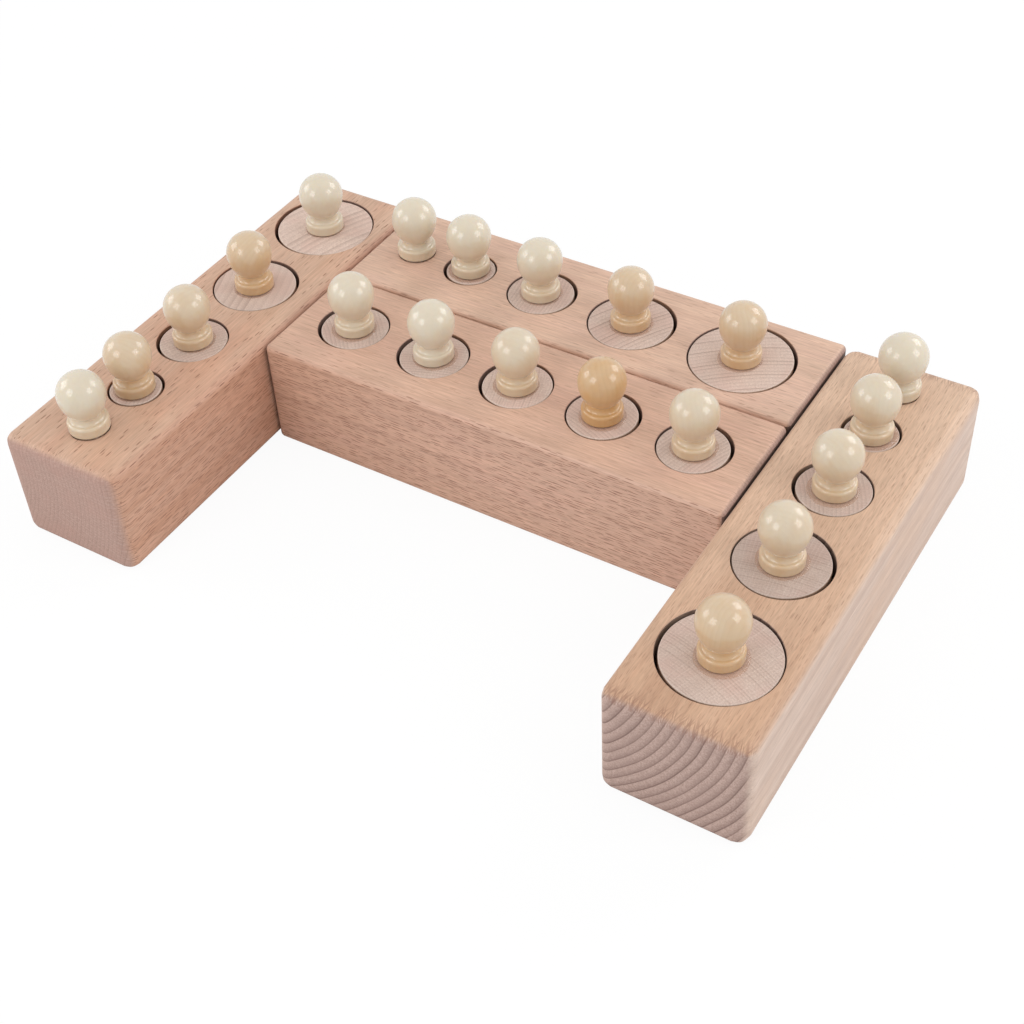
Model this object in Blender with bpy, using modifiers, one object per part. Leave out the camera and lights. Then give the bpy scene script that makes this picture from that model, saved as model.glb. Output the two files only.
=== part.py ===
"""Set of four wooden knobbed cylinder blocks.

Each block is a bar of solid beech with five blind sockets, and each socket holds a turned cylinder
that is lifted out by a glued-in knob. In three blocks the diameters are graded, and in the front
block they are equal and only the heights change.

World frame: +Z is up, z = 0 is the table, X runs along the back and front blocks, and the origin
is at the middle of the set. Lengths are in metres.
"""

import bpy
from math import asin, cos, pi, sin, sqrt

MM = 0.001

# The five cylinders of a block
PIECES_PER_BLOCK = 5
LARGEST_DIAMETER = 30 * MM
SMALLEST_DIAMETER = 10 * MM
EQUAL_DIAMETER = 20 * MM
TALLEST_CYLINDER = 30 * MM
SHORTEST_CYLINDER = 10 * MM
CYLINDER_EDGE = 0.5 * MM

# Fits between the pieces
SOCKET_CLEARANCE = 0.65 * MM
PLAY_SHARE = 0.52
SEAT_GAP = 0.3 * MM
TOP_RECESS = 0.3 * MM
BLOCK_GAP = 0.4 * MM

# Wood left standing round the sockets, which sets the size of the blocks
WALL_BETWEEN_SOCKETS = 6.6 * MM
WALL_AT_SMALLEST = 5.6 * MM
END_WALL = 7.55 * MM
SIDE_WALL = 4.35 * MM
FLOOR_THICKNESS = 4.4 * MM

# The outer blocks are rounder than the inner ones, most of all at their upright corners
OUTER_EDGE_RADIUS = 3.0 * MM
OUTER_CORNER_RADIUS = 4.2 * MM
INNER_EDGE_RADIUS = 1.7 * MM

# The rows of the left and right blocks are drilled a little nearer to the back of the set
LEFT_ROW_SHIFT = 1.6 * MM
RIGHT_ROW_SHIFT = 0.8 * MM

# Turned knob, heights measured up from its seat on the cylinder
KNOB_HEIGHT = 18.4 * MM
BALL_DIAMETER = 13.6 * MM
BALL_CROWN = 6.6 * MM
NECK_DIAMETER = 8.2 * MM
NECK_HEIGHT = 5.2 * MM
COLLAR_DIAMETER = 11.7 * MM
COLLAR_HEIGHT = 3.4 * MM
COLLAR_ROUNDING = 1.3 * MM
COLLAR_FOOT_ROUNDING = 0.4 * MM
GLUE_GAP = 0.3 * MM

# The hidden tenon suits the smallest and the shortest cylinder
TENON_WIDTH_SHARE = 0.5
TENON_LENGTH_SHARE = 0.6

# Cutters reach this far past the face that they cut
CUT_OVERRUN = 2 * MM

# Facets round the smallest and the largest cylinder and the knob, and rows along their curves
FEWEST_SIDES = 16
MOST_SIDES = 28
KNOB_SIDES = 16
BALL_ROWS_ABOVE = 3
BALL_ROWS_BELOW = 3
EDGE_SEGMENTS = 3
MERGE_DISTANCE = 0.01 * MM

# Which way each cylinder leans in its socket, in degrees from +X, from cylinder 1 to 5
LEFT_LEANS = (20, -150, 10, 160, 60)
BACK_LEANS = (170, -160, 190, 80, 0)
FRONT_LEANS = (10, -20, 0, 170, -150)
RIGHT_LEANS = (0, 175, 10, -60, 120)

# sRGB colours and roughness of the finishes
BEECH = ("oiled_beech", (0.80, 0.64, 0.52), 0.55)
CYLINDER_WOOD = ("sanded_beech_end_grain", (0.75, 0.65, 0.61), 0.6)
KNOB_WOOD = ("lacquered_birch", (0.89, 0.83, 0.70), 0.22)


def graded(largest, smallest):
    """Five sizes in equal steps, from the largest to the smallest."""
    step = (largest - smallest) / (PIECES_PER_BLOCK - 1)
    return [largest - step * index for index in range(PIECES_PER_BLOCK)]


DIAMETERS = graded(LARGEST_DIAMETER, SMALLEST_DIAMETER)
HEIGHTS = graded(TALLEST_CYLINDER, SHORTEST_CYLINDER)
EQUAL_DIAMETERS = [EQUAL_DIAMETER] * PIECES_PER_BLOCK
SOCKET_PLAY = SOCKET_CLEARANCE * PLAY_SHARE
TENON_DIAMETER = SMALLEST_DIAMETER * TENON_WIDTH_SHARE
TENON_LENGTH = SHORTEST_CYLINDER * TENON_LENGTH_SHARE

OUTER_RADII = (OUTER_EDGE_RADIUS, OUTER_CORNER_RADIUS)
INNER_RADII = (INNER_EDGE_RADIUS, INNER_EDGE_RADIUS)

GRADED_WALLS = [WALL_BETWEEN_SOCKETS] * (PIECES_PER_BLOCK - 2) + [WALL_AT_SMALLEST]
EQUAL_WALLS = [WALL_BETWEEN_SOCKETS] * (PIECES_PER_BLOCK - 1)


def socket_diameter(diameter):
    return diameter + 2 * SOCKET_CLEARANCE


def row_length(diameters, walls):
    """Length of a row of sockets with the walls between them."""
    return sum(socket_diameter(diameter) for diameter in diameters) + sum(walls)


LONGEST_ROW = max(row_length(DIAMETERS, GRADED_WALLS), row_length(EQUAL_DIAMETERS, EQUAL_WALLS))
WIDEST_SOCKET = socket_diameter(max(LARGEST_DIAMETER, EQUAL_DIAMETER))
BLOCK_LENGTH = LONGEST_ROW + 2 * END_WALL
BLOCK_WIDTH = WIDEST_SOCKET + 2 * SIDE_WALL
BLOCK_HEIGHT = TALLEST_CYLINDER + SEAT_GAP + TOP_RECESS + FLOOR_THICKNESS


def clear_scene():
    for thing in list(bpy.data.objects):
        bpy.data.objects.remove(thing, do_unlink=True)


def new_collection(name):
    collection = bpy.data.collections.new(name)
    bpy.context.scene.collection.children.link(collection)
    return collection


def move_to(thing, collection):
    for old in list(thing.users_collection):
        old.objects.unlink(thing)
    collection.objects.link(thing)


def to_linear(channel):
    return channel / 12.92 if channel <= 0.04045 else ((channel + 0.055) / 1.055) ** 2.4


def finish(finish_values):
    """The Principled material of one finish, made once and then shared."""
    name, colour, roughness = finish_values
    material = bpy.data.materials.get(name)
    if material is None:
        material = bpy.data.materials.new(name)
        material.use_nodes = True
        shader = material.node_tree.nodes["Principled BSDF"]
        shader.inputs["Base Color"].default_value = [to_linear(c) for c in colour] + [1]
        shader.inputs["Roughness"].default_value = roughness
        shader.inputs["Metallic"].default_value = 0
        material.diffuse_color = (*colour, 1)
    return material


def sides_for(diameter):
    """Large cylinders get more facets than small ones, always an even number."""
    share = (diameter - SMALLEST_DIAMETER) / (LARGEST_DIAMETER - SMALLEST_DIAMETER)
    return FEWEST_SIDES + 2 * round(share * (MOST_SIDES - FEWEST_SIDES) / 2)


def turned(name, profile, sides, collection):
    """A solid turned about its own Z axis from a profile of (radius, height) points."""
    mesh = bpy.data.meshes.new(name)
    edges = [(index, index + 1) for index in range(len(profile) - 1)]
    mesh.from_pydata([(radius, 0, height) for radius, height in profile], edges, [])
    thing = bpy.data.objects.new(name, mesh)
    collection.objects.link(thing)
    screw = thing.modifiers.new("Turning", "SCREW")
    screw.axis = "Z"
    screw.steps = sides
    screw.render_steps = sides
    screw.use_merge_vertices = True
    screw.merge_threshold = MERGE_DISTANCE
    screw.use_smooth_shade = True
    return thing


def socket_profile(radius, depth):
    """Cutter for a blind socket, from above the block's top down to the socket's floor."""
    return [(0, CUT_OVERRUN), (radius, CUT_OVERRUN), (radius, -depth), (0, -depth)]


def cylinder_profile(radius, height):
    """A turned cylinder with a blind bore for the tenon and a small chamfer at its top edge."""
    bore_radius = TENON_DIAMETER / 2 + GLUE_GAP
    bore_floor = height - TENON_LENGTH
    return [
        (0, bore_floor),
        (bore_radius, bore_floor),
        (bore_radius, height),
        (radius - CYLINDER_EDGE, height),
        (radius, height - CYLINDER_EDGE),
        (radius, 0),
        (0, 0),
    ]


def arc(centre, radii, start, end, rows):
    """Points of an ellipse arc in the profile plane, without its first point."""
    points = []
    for row in range(1, rows + 1):
        angle = start + (end - start) * row / rows
        points.append((centre[0] + radii[0] * cos(angle), centre[1] + radii[1] * sin(angle)))
    return points


def knob_profile():
    """Ball, neck, rounded collar and tenon, from the crown down to the tenon's end."""
    ball_radius = BALL_DIAMETER / 2
    equator = KNOB_HEIGHT - BALL_CROWN
    neck_radius = NECK_DIAMETER / 2
    neck_share = neck_radius / ball_radius
    below = (equator - NECK_HEIGHT) / sqrt(1 - neck_share ** 2)
    neck_angle = -asin((equator - NECK_HEIGHT) / below)
    collar_radius = COLLAR_DIAMETER / 2
    tenon_radius = TENON_DIAMETER / 2
    profile = [(0, KNOB_HEIGHT)]
    profile += arc((0, equator), (ball_radius, BALL_CROWN), pi / 2, 0, BALL_ROWS_ABOVE)
    profile += arc((0, equator), (ball_radius, below), 0, neck_angle, BALL_ROWS_BELOW)
    profile += [
        (collar_radius - COLLAR_ROUNDING, COLLAR_HEIGHT),
        (collar_radius, COLLAR_HEIGHT - COLLAR_ROUNDING),
        (collar_radius, COLLAR_FOOT_ROUNDING),
        (collar_radius - COLLAR_FOOT_ROUNDING, 0),
        (tenon_radius, 0),
        (tenon_radius, -TENON_LENGTH),
        (0, -TENON_LENGTH),
    ]
    return profile


def socket_places(diameters, walls, flip, shift):
    """Centres of the sockets along the block, in a row that lies about its middle."""
    edge = row_length(diameters, walls) / 2
    places = []
    for diameter, wall in zip(diameters, walls + [0]):
        places.append(flip * (edge - socket_diameter(diameter) / 2) + shift)
        edge -= socket_diameter(diameter) + wall
    return places


def collar_covers(diameter):
    """Whether the knob's collar is wider than the cylinder's socket."""
    return COLLAR_DIAMETER > socket_diameter(diameter)


def recess_of(diameter):
    """A cylinder sits just below the block's top, unless its collar covers the socket."""
    return 0 if collar_covers(diameter) else TOP_RECESS


def play_of(diameter):
    """A cylinder leans to one side of its socket, unless its collar covers the socket."""
    return 0 if collar_covers(diameter) else SOCKET_PLAY


def round_edges(block, edge_radius, corner_radius):
    """Rounds the upright corners of a bar with one radius and all its other edges with another."""
    widest = max(edge_radius, corner_radius)
    weights = block.data.attributes.new("bevel_weight_edge", "FLOAT", "EDGE")
    for edge in block.data.edges:
        start, end = [block.data.vertices[index].co for index in edge.vertices]
        radius = corner_radius if start.z != end.z else edge_radius
        weights.data[edge.index].value = radius / widest
    rounding = block.modifiers.new("Rounded edges", "BEVEL")
    rounding.width = widest
    rounding.segments = EDGE_SEGMENTS
    rounding.limit_method = "WEIGHT"


def block_body(name, frame, radii, collection):
    """A bar of beech with all its edges rounded, standing on its base."""
    bpy.ops.mesh.primitive_cube_add(size=1)
    block = bpy.context.object
    block.name = name
    block.data.name = name
    block.scale = (BLOCK_LENGTH, BLOCK_WIDTH, BLOCK_HEIGHT)
    bpy.ops.object.transform_apply(location=False, rotation=False, scale=True)
    block.parent = frame
    block.location = (0, 0, BLOCK_HEIGHT / 2)
    move_to(block, collection)
    round_edges(block, *radii)
    block.data.materials.append(finish(BEECH))
    return block


def drill(block, frame, place, radius, depth, sides, cutters):
    """One blind socket in the top of the block."""
    cutter = turned(block.name + "_socket", socket_profile(radius, depth), sides, cutters)
    cutter.parent = frame
    cutter.location = (place, 0, BLOCK_HEIGHT)
    cutter.hide_render = True
    cutter.display_type = "WIRE"
    cut = block.modifiers.new("Socket", "BOOLEAN")
    cut.operation = "DIFFERENCE"
    cut.solver = "EXACT"
    cut.object = cutter


def knobbed_cylinder(side, number, frame, place, diameter, height, lean, parts):
    """A cylinder in its socket with its knob, on an empty that lies on the lifting axis."""
    axis = bpy.data.objects.new(f"{side}_axis_{number}", None)
    parts.objects.link(axis)
    axis.parent = frame
    play = play_of(diameter)
    foot = BLOCK_HEIGHT - recess_of(diameter) - height
    axis.location = (place + play * cos(lean), play * sin(lean), foot)

    name = f"{side}_cylinder_{number}"
    cylinder = turned(name, cylinder_profile(diameter / 2, height), sides_for(diameter), parts)
    cylinder.parent = axis
    cylinder.data.materials.append(finish(CYLINDER_WOOD))

    knob = turned(f"{side}_knob_{number}", knob_profile(), KNOB_SIDES, parts)
    knob.parent = axis
    knob.location = (0, 0, height + GLUE_GAP)
    knob.data.materials.append(finish(KNOB_WOOD))


def cylinder_block(side, centre, turn, radii, diameters, heights, places, leans, parts, cutters):
    """One block with its sockets, cylinders and knobs."""
    frame = bpy.data.objects.new(side + "_frame", None)
    parts.objects.link(frame)
    frame.location = (*centre, 0)
    frame.rotation_euler = (0, 0, turn)
    block = block_body(side + "_block", frame, radii, parts)
    for index, (place, diameter, height) in enumerate(zip(places, diameters, heights)):
        depth = height + SEAT_GAP + recess_of(diameter)
        drill(block, frame, place, socket_diameter(diameter) / 2, depth, sides_for(diameter), cutters)
        lean = leans[index] * pi / 180 - turn
        knobbed_cylinder(side, index + 1, frame, place, diameter, height, lean, parts)


def build():
    clear_scene()
    parts = new_collection("knobbed_cylinder_blocks")
    cutters = new_collection("cutters")
    side_place = BLOCK_LENGTH / 2 + BLOCK_GAP + BLOCK_WIDTH / 2
    back_row = BLOCK_LENGTH / 2 - BLOCK_WIDTH / 2
    front_row = back_row - BLOCK_WIDTH - BLOCK_GAP
    quarter = pi / 2
    tall = [TALLEST_CYLINDER] * PIECES_PER_BLOCK
    rising = HEIGHTS[::-1]

    # Largest cylinder at the back
    places = socket_places(DIAMETERS, GRADED_WALLS, 1, LEFT_ROW_SHIFT)
    cylinder_block(
        "left", (-side_place, 0), quarter, OUTER_RADII, DIAMETERS, HEIGHTS, places, LEFT_LEANS, parts, cutters
    )

    # Largest cylinder at the right, all of one height
    places = socket_places(DIAMETERS, GRADED_WALLS, 1, 0)
    cylinder_block(
        "back", (0, back_row), 0, INNER_RADII, DIAMETERS, tall, places, BACK_LEANS, parts, cutters
    )

    # Equal diameters, the tallest cylinder at the left
    places = socket_places(EQUAL_DIAMETERS, EQUAL_WALLS, -1, 0)
    cylinder_block(
        "front", (0, front_row), 0, INNER_RADII, EQUAL_DIAMETERS, HEIGHTS, places, FRONT_LEANS, parts, cutters
    )

    # Largest cylinder at the front, where the widest one is the shortest
    places = socket_places(DIAMETERS, GRADED_WALLS, -1, RIGHT_ROW_SHIFT)
    cylinder_block(
        "right", (side_place, 0), quarter, OUTER_RADII, DIAMETERS, rising, places, RIGHT_LEANS, parts, cutters
    )


build()
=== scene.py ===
# %% [markdown]
# # Four wooden knobbed cylinder blocks
#
# The object is a sensorial toy: four bars of solid beech, each with five round sockets. A turned
# cylinder sits in every socket and is lifted out by a small lacquered knob. The construction is
# already packed as a frame of plain solids. This script gives it its looks: smooth turned shapes,
# rounded and drilled bars, wood grain, clear lacquer and the glue at the foot of each knob.
#
# Every size and place below is read from the frame or is a named value in millimetres.

# %% The frame and the tools
from math import cos, pi, radians, sin, sqrt

import bmesh
import bpy
from mathutils import Matrix, Vector


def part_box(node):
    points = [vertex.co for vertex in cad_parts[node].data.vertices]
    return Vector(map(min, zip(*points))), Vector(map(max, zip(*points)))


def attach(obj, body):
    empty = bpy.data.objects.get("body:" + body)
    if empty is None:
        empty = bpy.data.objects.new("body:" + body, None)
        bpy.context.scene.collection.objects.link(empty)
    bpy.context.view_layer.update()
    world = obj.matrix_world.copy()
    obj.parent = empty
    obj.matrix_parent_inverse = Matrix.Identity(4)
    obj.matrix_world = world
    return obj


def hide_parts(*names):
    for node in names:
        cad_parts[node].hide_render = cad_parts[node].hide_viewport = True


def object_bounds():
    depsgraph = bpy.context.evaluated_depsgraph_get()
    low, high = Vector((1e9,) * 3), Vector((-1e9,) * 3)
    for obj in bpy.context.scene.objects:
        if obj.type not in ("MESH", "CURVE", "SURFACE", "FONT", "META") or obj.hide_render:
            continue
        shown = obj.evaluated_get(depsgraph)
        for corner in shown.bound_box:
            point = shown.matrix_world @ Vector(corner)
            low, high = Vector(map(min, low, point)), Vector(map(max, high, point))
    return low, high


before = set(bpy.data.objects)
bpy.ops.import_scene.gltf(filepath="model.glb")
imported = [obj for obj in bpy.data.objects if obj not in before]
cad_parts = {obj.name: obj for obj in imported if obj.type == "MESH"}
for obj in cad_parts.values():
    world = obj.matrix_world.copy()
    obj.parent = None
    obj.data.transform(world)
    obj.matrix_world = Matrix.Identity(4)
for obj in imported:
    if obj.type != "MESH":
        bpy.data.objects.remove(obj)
cad_low, cad_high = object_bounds()

MM = 0.001
SIDES = ("left", "back", "front", "right")
NUMBERS = (1, 2, 3, 4, 5)

# %% [markdown]
# ## Camera
#
# The photograph was taken from above and to the right of the set with a slightly long lens, and
# the camera was tilted a little to one side. The camera is placed by an azimuth, an elevation and
# a distance from the point it looks at, because these can be measured from the picture one by one.

# %% Camera
CAMERA_AZIMUTH = 33.637
CAMERA_ELEVATION = 43.578
CAMERA_ROLL = -3.347
CAMERA_DISTANCE = 450.69 * MM
CAMERA_TARGET = Vector((20.19, -22.69, 25.0)) * MM
LENS = 59.36
SENSOR = 36


def direction(azimuth, elevation):
    """Unit vector from the object towards a place seen at these angles, in degrees."""
    flat = cos(radians(elevation))
    return Vector((sin(radians(azimuth)) * flat, -cos(radians(azimuth)) * flat, sin(radians(elevation))))


back = direction(CAMERA_AZIMUTH, CAMERA_ELEVATION)
roll = Matrix.Rotation(radians(CAMERA_ROLL), 3, "Z")
lens = bpy.data.cameras.new("camera")
lens.lens = LENS
lens.sensor_width = SENSOR
camera = bpy.data.objects.new("camera", lens)
bpy.context.scene.collection.objects.link(camera)
camera.rotation_euler = (back.to_track_quat("Z", "Y").to_matrix() @ roll).to_euler()
camera.location = CAMERA_TARGET + back * CAMERA_DISTANCE
bpy.context.scene.camera = camera
print("camera at", [round(value, 4) for value in camera.location])

# %% [markdown]
# ## Nodes
#
# All materials here are node trees. One helper adds a node, sets its settings and fills or links
# its sockets, so that a material reads as a list of steps. Colours are written as sRGB hex values,
# as a colour picker gives them, and one function turns them to the linear values that shaders use.
# Three short helpers make a material, fill its shader and give it to a piece.

# %% Node helpers and colours


def linear(colour):
    """An sRGB hex colour such as "d1ac93" as linear values with an alpha of one."""
    channels = [int(colour[start:start + 2], 16) / 255 for start in (0, 2, 4)]
    return [c / 12.92 if c <= 0.04045 else ((c + 0.055) / 1.055) ** 2.4 for c in channels] + [1]


def add(tree, kind, inputs=None, output=0, **settings):
    """Adds one shader node with its settings, fills or links its sockets, and gives one output."""
    node = tree.nodes.new("ShaderNode" + kind)
    for name, value in settings.items():
        setattr(node, name, value)
    for socket, value in (inputs or {}).items():
        if isinstance(value, bpy.types.NodeSocket):
            tree.links.new(value, node.inputs[socket])
        else:
            node.inputs[socket].default_value = value
    return node.outputs[output] if node.outputs else node


def new_material(name):
    """A material with its node tree and its shader."""
    material = bpy.data.materials.new(name)
    material.use_nodes = True
    return material, material.node_tree, material.node_tree.nodes["Principled BSDF"]


def set_shader(shader, settings):
    """Fills the sockets of a shader with plain values."""
    for name, value in settings.items():
        shader.inputs[name].default_value = value


def paint(piece, material):
    """Gives a piece one material and no other."""
    piece.data.materials.clear()
    piece.data.materials.append(material)


# %% [markdown]
# ## Light and background
#
# The picture has very soft light and almost no shadow: a white room, with four small softboxes
# round the table. Each polished knob mirrors all four of them, so their directions are read from
# the highlights. The white room lights everything evenly, and the softboxes add the sparkle.
#
# The background is white because the room shows white to the camera and in reflections, and not
# because more light falls on the object. The floor is white too and keeps a faint shadow.

# %% Light and background
bpy.context.scene.view_settings.view_transform = "Standard"

ROOM_STRENGTH = 0.685
SOFTBOX_DISTANCE = 1000 * MM
SOFTBOX_SIZE = 450 * MM
SOFTBOX_AIM = Vector((0, 0, 30)) * MM
# Azimuth, elevation and radiance of the softboxes behind, left, right and in front of the set
SOFTBOXES = ((153, 32, 3.3), (-73, 26, 2.9), (98, 35, 3.3), (-20, 34, 3.2))
FLOOR_SIZE = 6000 * MM
FLOOR_COLOUR = "eeeeee"
SHADOW_SHARE = 0.07
WHITE = linear("ffffff")

room = bpy.data.worlds.new("white_room")
bpy.context.scene.world = room
room.use_nodes = True
tree = room.node_tree
tree.nodes.clear()
seen = add(tree, "LightPath", output="Is Camera Ray")
rays = seen.node.outputs
for kind in ("Is Glossy Ray", "Is Transmission Ray"):
    seen = add(tree, "Math", {0: seen, 1: rays[kind]}, operation="MAXIMUM")
strength = add(tree, "MapRange", {"Value": seen, "To Min": ROOM_STRENGTH, "To Max": 1.0})
glow = add(tree, "Background", {"Color": WHITE, "Strength": strength})
add(tree, "OutputWorld", {"Surface": glow})

for number, (azimuth, elevation, radiance) in enumerate(SOFTBOXES, 1):
    softbox = bpy.data.lights.new(f"softbox_{number}", "AREA")
    softbox.shape = "SQUARE"
    softbox.size = SOFTBOX_SIZE
    softbox.energy = radiance * pi * SOFTBOX_SIZE ** 2
    holder = bpy.data.objects.new(softbox.name, softbox)
    bpy.context.scene.collection.objects.link(holder)
    towards = direction(azimuth, elevation)
    holder.rotation_euler = towards.to_track_quat("Z", "Y").to_euler()
    holder.location = SOFTBOX_AIM + towards * SOFTBOX_DISTANCE

bpy.ops.object.select_all(action="DESELECT")
bpy.ops.mesh.primitive_plane_add(size=FLOOR_SIZE, location=(0, 0, cad_low.z))
floor = bpy.context.object
floor.name = "floor"
paper = bpy.data.materials.new("white_paper_floor")
paper.use_nodes = True
tree = paper.node_tree
tree.nodes.clear()
seen = add(tree, "LightPath", output="Is Camera Ray")
tint = add(tree, "Mix", {"Factor": seen, "A": linear(FLOOR_COLOUR), "B": WHITE}, 2, data_type="RGBA")
lit = add(tree, "BsdfDiffuse", {"Color": tint})
plain = add(tree, "Emission", {"Color": WHITE, "Strength": 1.0})
share = add(tree, "Math", {0: seen, 1: 1 - SHADOW_SHARE}, operation="MULTIPLY")
surface = add(tree, "MixShader", {0: share, 1: lit, 2: plain})
add(tree, "OutputMaterial", {"Surface": surface})
floor.data.materials.append(paper)
print("softboxes:", len(SOFTBOXES), "floor at", cad_low.z)

# %% [markdown]
# ## Working by hand
#
# Every piece starts as a primitive and is shaped in edit mode. These helpers do what the hand does
# between two tools: drop the old selection, pick the next faces or edges by their place, extrude
# them, and write a finished piece's place into its mesh.

# %% Selecting, extruding and finishing
TINY = 0.01 * MM
SAME_PLACE = TINY / 10
SMOOTH_DEGREES = 40
SELECT_MODES = {"verts": "VERT", "edges": "EDGE", "faces": "FACE"}


def choose(*pieces):
    """Selects these pieces and nothing else, and makes the first one active."""
    bpy.ops.object.select_all(action="DESELECT")
    for piece in pieces:
        piece.select_set(True)
    bpy.context.view_layer.objects.active = pieces[0]


def settle(piece):
    """Writes a piece's place, turn and scale into its mesh, so that its object is at the origin."""
    choose(piece)
    bpy.ops.object.transform_apply(location=True, rotation=True, scale=True)


def pick(piece, kind, test):
    """In edit mode, selects only the verts, edges or faces of a piece that pass the test."""
    bpy.ops.mesh.select_mode(type=SELECT_MODES[kind])
    bpy.ops.mesh.select_all(action="DESELECT")
    shape = bmesh.from_edit_mesh(piece.data)
    for element in getattr(shape, kind):
        if test(element):
            element.select_set(True)
    bmesh.update_edit_mesh(piece.data)


def draw_out(axis, start, end):
    """Extrudes the picked ring or face from one (radius, height) to the next about an upright axis."""
    move = (0, 0, end[1] - start[1])
    bpy.ops.mesh.extrude_region_move(TRANSFORM_OT_translate={"value": move})
    share = end[0] / start[0]
    centre = (axis[0], axis[1], end[1])
    bpy.ops.transform.resize(value=(share, share, 1), center_override=centre)


def apply_modifier(piece, kind, **settings):
    """Adds a modifier to a piece and applies it at once."""
    made = piece.modifiers.new(kind.title(), kind)
    for name, value in settings.items():
        setattr(made, name, value)
    bpy.context.view_layer.objects.active = piece
    bpy.ops.object.modifier_apply(modifier=made.name)


def smooth(piece):
    """Shades round stretches smooth and keeps flat faces flat."""
    choose(piece)
    bpy.ops.object.shade_smooth_by_angle(angle=radians(SMOOTH_DEGREES))
    apply_modifier(piece, "WEIGHTED_NORMAL", keep_sharp=True)


def level(element, height):
    """Whether all the corners of an edge or face lie at one height."""
    return all(abs(corner.co.z - height) < TINY for corner in element.verts)


# %% [markdown]
# ## Where the wood grew
#
# Wood grain is solid: rings, fibres and rays run through the piece and come out on every face in a
# different way. So each piece remembers where it lay in its tree. A vector attribute holds, for
# every point, its place across the trunk from the heart and along the trunk, in millimetres. All
# beech materials read it, and two faces that meet at an edge then show the same rings.

# %% Grain attribute


def lay_grain(piece, along, heart, spin=0):
    """Stores each point's place in the tree: x and y from the heart, z along the trunk, in mm."""
    corners = [vertex.co for vertex in piece.data.vertices]
    low = Vector([min(corner[axis] for corner in corners) for axis in range(3)])
    high = Vector([max(corner[axis] for corner in corners) for axis in range(3)])
    centre = (low + high) / 2
    upright = Vector(along).rotation_difference(Vector((0, 0, 1))).to_matrix()
    turn = Matrix.Rotation(radians(spin), 3, "Z") @ upright
    values = []
    for corner in corners:
        values.extend(turn @ (corner - centre) / MM + Vector(heart))
    grain = piece.data.attributes.new("grain", "FLOAT_VECTOR", "POINT")
    grain.data.foreach_set("vector", values)


# %% [markdown]
# ## The bars
#
# Each bar is planed beech with all its edges rounded, and five blind sockets drilled from the top
# with a Forstner bit. The outer bars are rounded more, most of all at their upright corners, so
# the edges get bevel weights in edit mode and one Bevel modifier rounds them all. The sockets are
# cut with a Boolean. Each bit flares at the top, so that the rim comes out slightly broken, and has
# the small point that such a bit leaves.

# %% Bars
OUTER_BARS = ("left", "right")
OUTER_EDGE_RADIUS = 3.0 * MM
OUTER_CORNER_RADIUS = 4.2 * MM
INNER_EDGE_RADIUS = 1.7 * MM
EDGE_SEGMENTS = 10
SOCKET_SIDES = 128
RIM_BREAK = 0.25 * MM
RIM_STEPS = 3
RIM_SEARCH = 1.5 * MM
CUT_OVERRUN = 2 * MM
POINT_RADIUS = 1.2 * MM
POINT_DEPTH = 0.9 * MM
# Least part along X of the normal of a face that is a side of an outer bar
SIDE_FACING = 0.9


def extent(piece_box):
    """Middle and outer radius of an upright round piece, from its box."""
    low, high = piece_box
    return (low + high) / 2, max(high.x - low.x, high.y - low.y) / 2


def socket_of(side, number):
    """Axis, radius and floor height of a socket, read from the frame's own block."""
    middle, reach = extent(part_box(f"{side}_cylinder_{number}"))
    corners = [vertex.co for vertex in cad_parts[side + "_block"].data.vertices]
    near = [corner for corner in corners if (corner.xy - middle.xy).length < reach + RIM_SEARCH]
    east, west = max(corner.x for corner in near), min(corner.x for corner in near)
    north, south = max(corner.y for corner in near), min(corner.y for corner in near)
    radius = max(east - west, north - south) / 2
    return Vector(((east + west) / 2, (north + south) / 2)), radius, min(corner.z for corner in near)


def drill_bit(axis, radius, floor_height, top):
    """The space that one drilled socket leaves."""
    straight = top - RIM_BREAK
    bpy.ops.object.select_all(action="DESELECT")
    bpy.ops.mesh.primitive_cylinder_add(
        vertices=SOCKET_SIDES,
        radius=radius,
        depth=straight - floor_height,
        location=(axis.x, axis.y, (straight + floor_height) / 2),
    )
    bit = bpy.context.object
    settle(bit)
    bpy.ops.object.mode_set(mode="EDIT")
    pick(bit, "faces", lambda face: level(face, straight))
    last = (radius, straight)
    for step in range(1, RIM_STEPS + 1):
        angle = step / RIM_STEPS * pi / 2
        point = (radius + RIM_BREAK * (1 - cos(angle)), straight + RIM_BREAK * sin(angle))
        draw_out(axis, last, point)
        last = point
    draw_out(axis, last, (last[0], top + CUT_OVERRUN))
    pick(bit, "faces", lambda face: level(face, floor_height))
    bpy.ops.mesh.inset(thickness=radius - POINT_RADIUS)
    bpy.ops.mesh.extrude_region_move(TRANSFORM_OT_translate={"value": (0, 0, -POINT_DEPTH)})
    bpy.ops.mesh.merge(type="CENTER")
    bpy.ops.object.mode_set(mode="OBJECT")
    return bit


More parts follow.
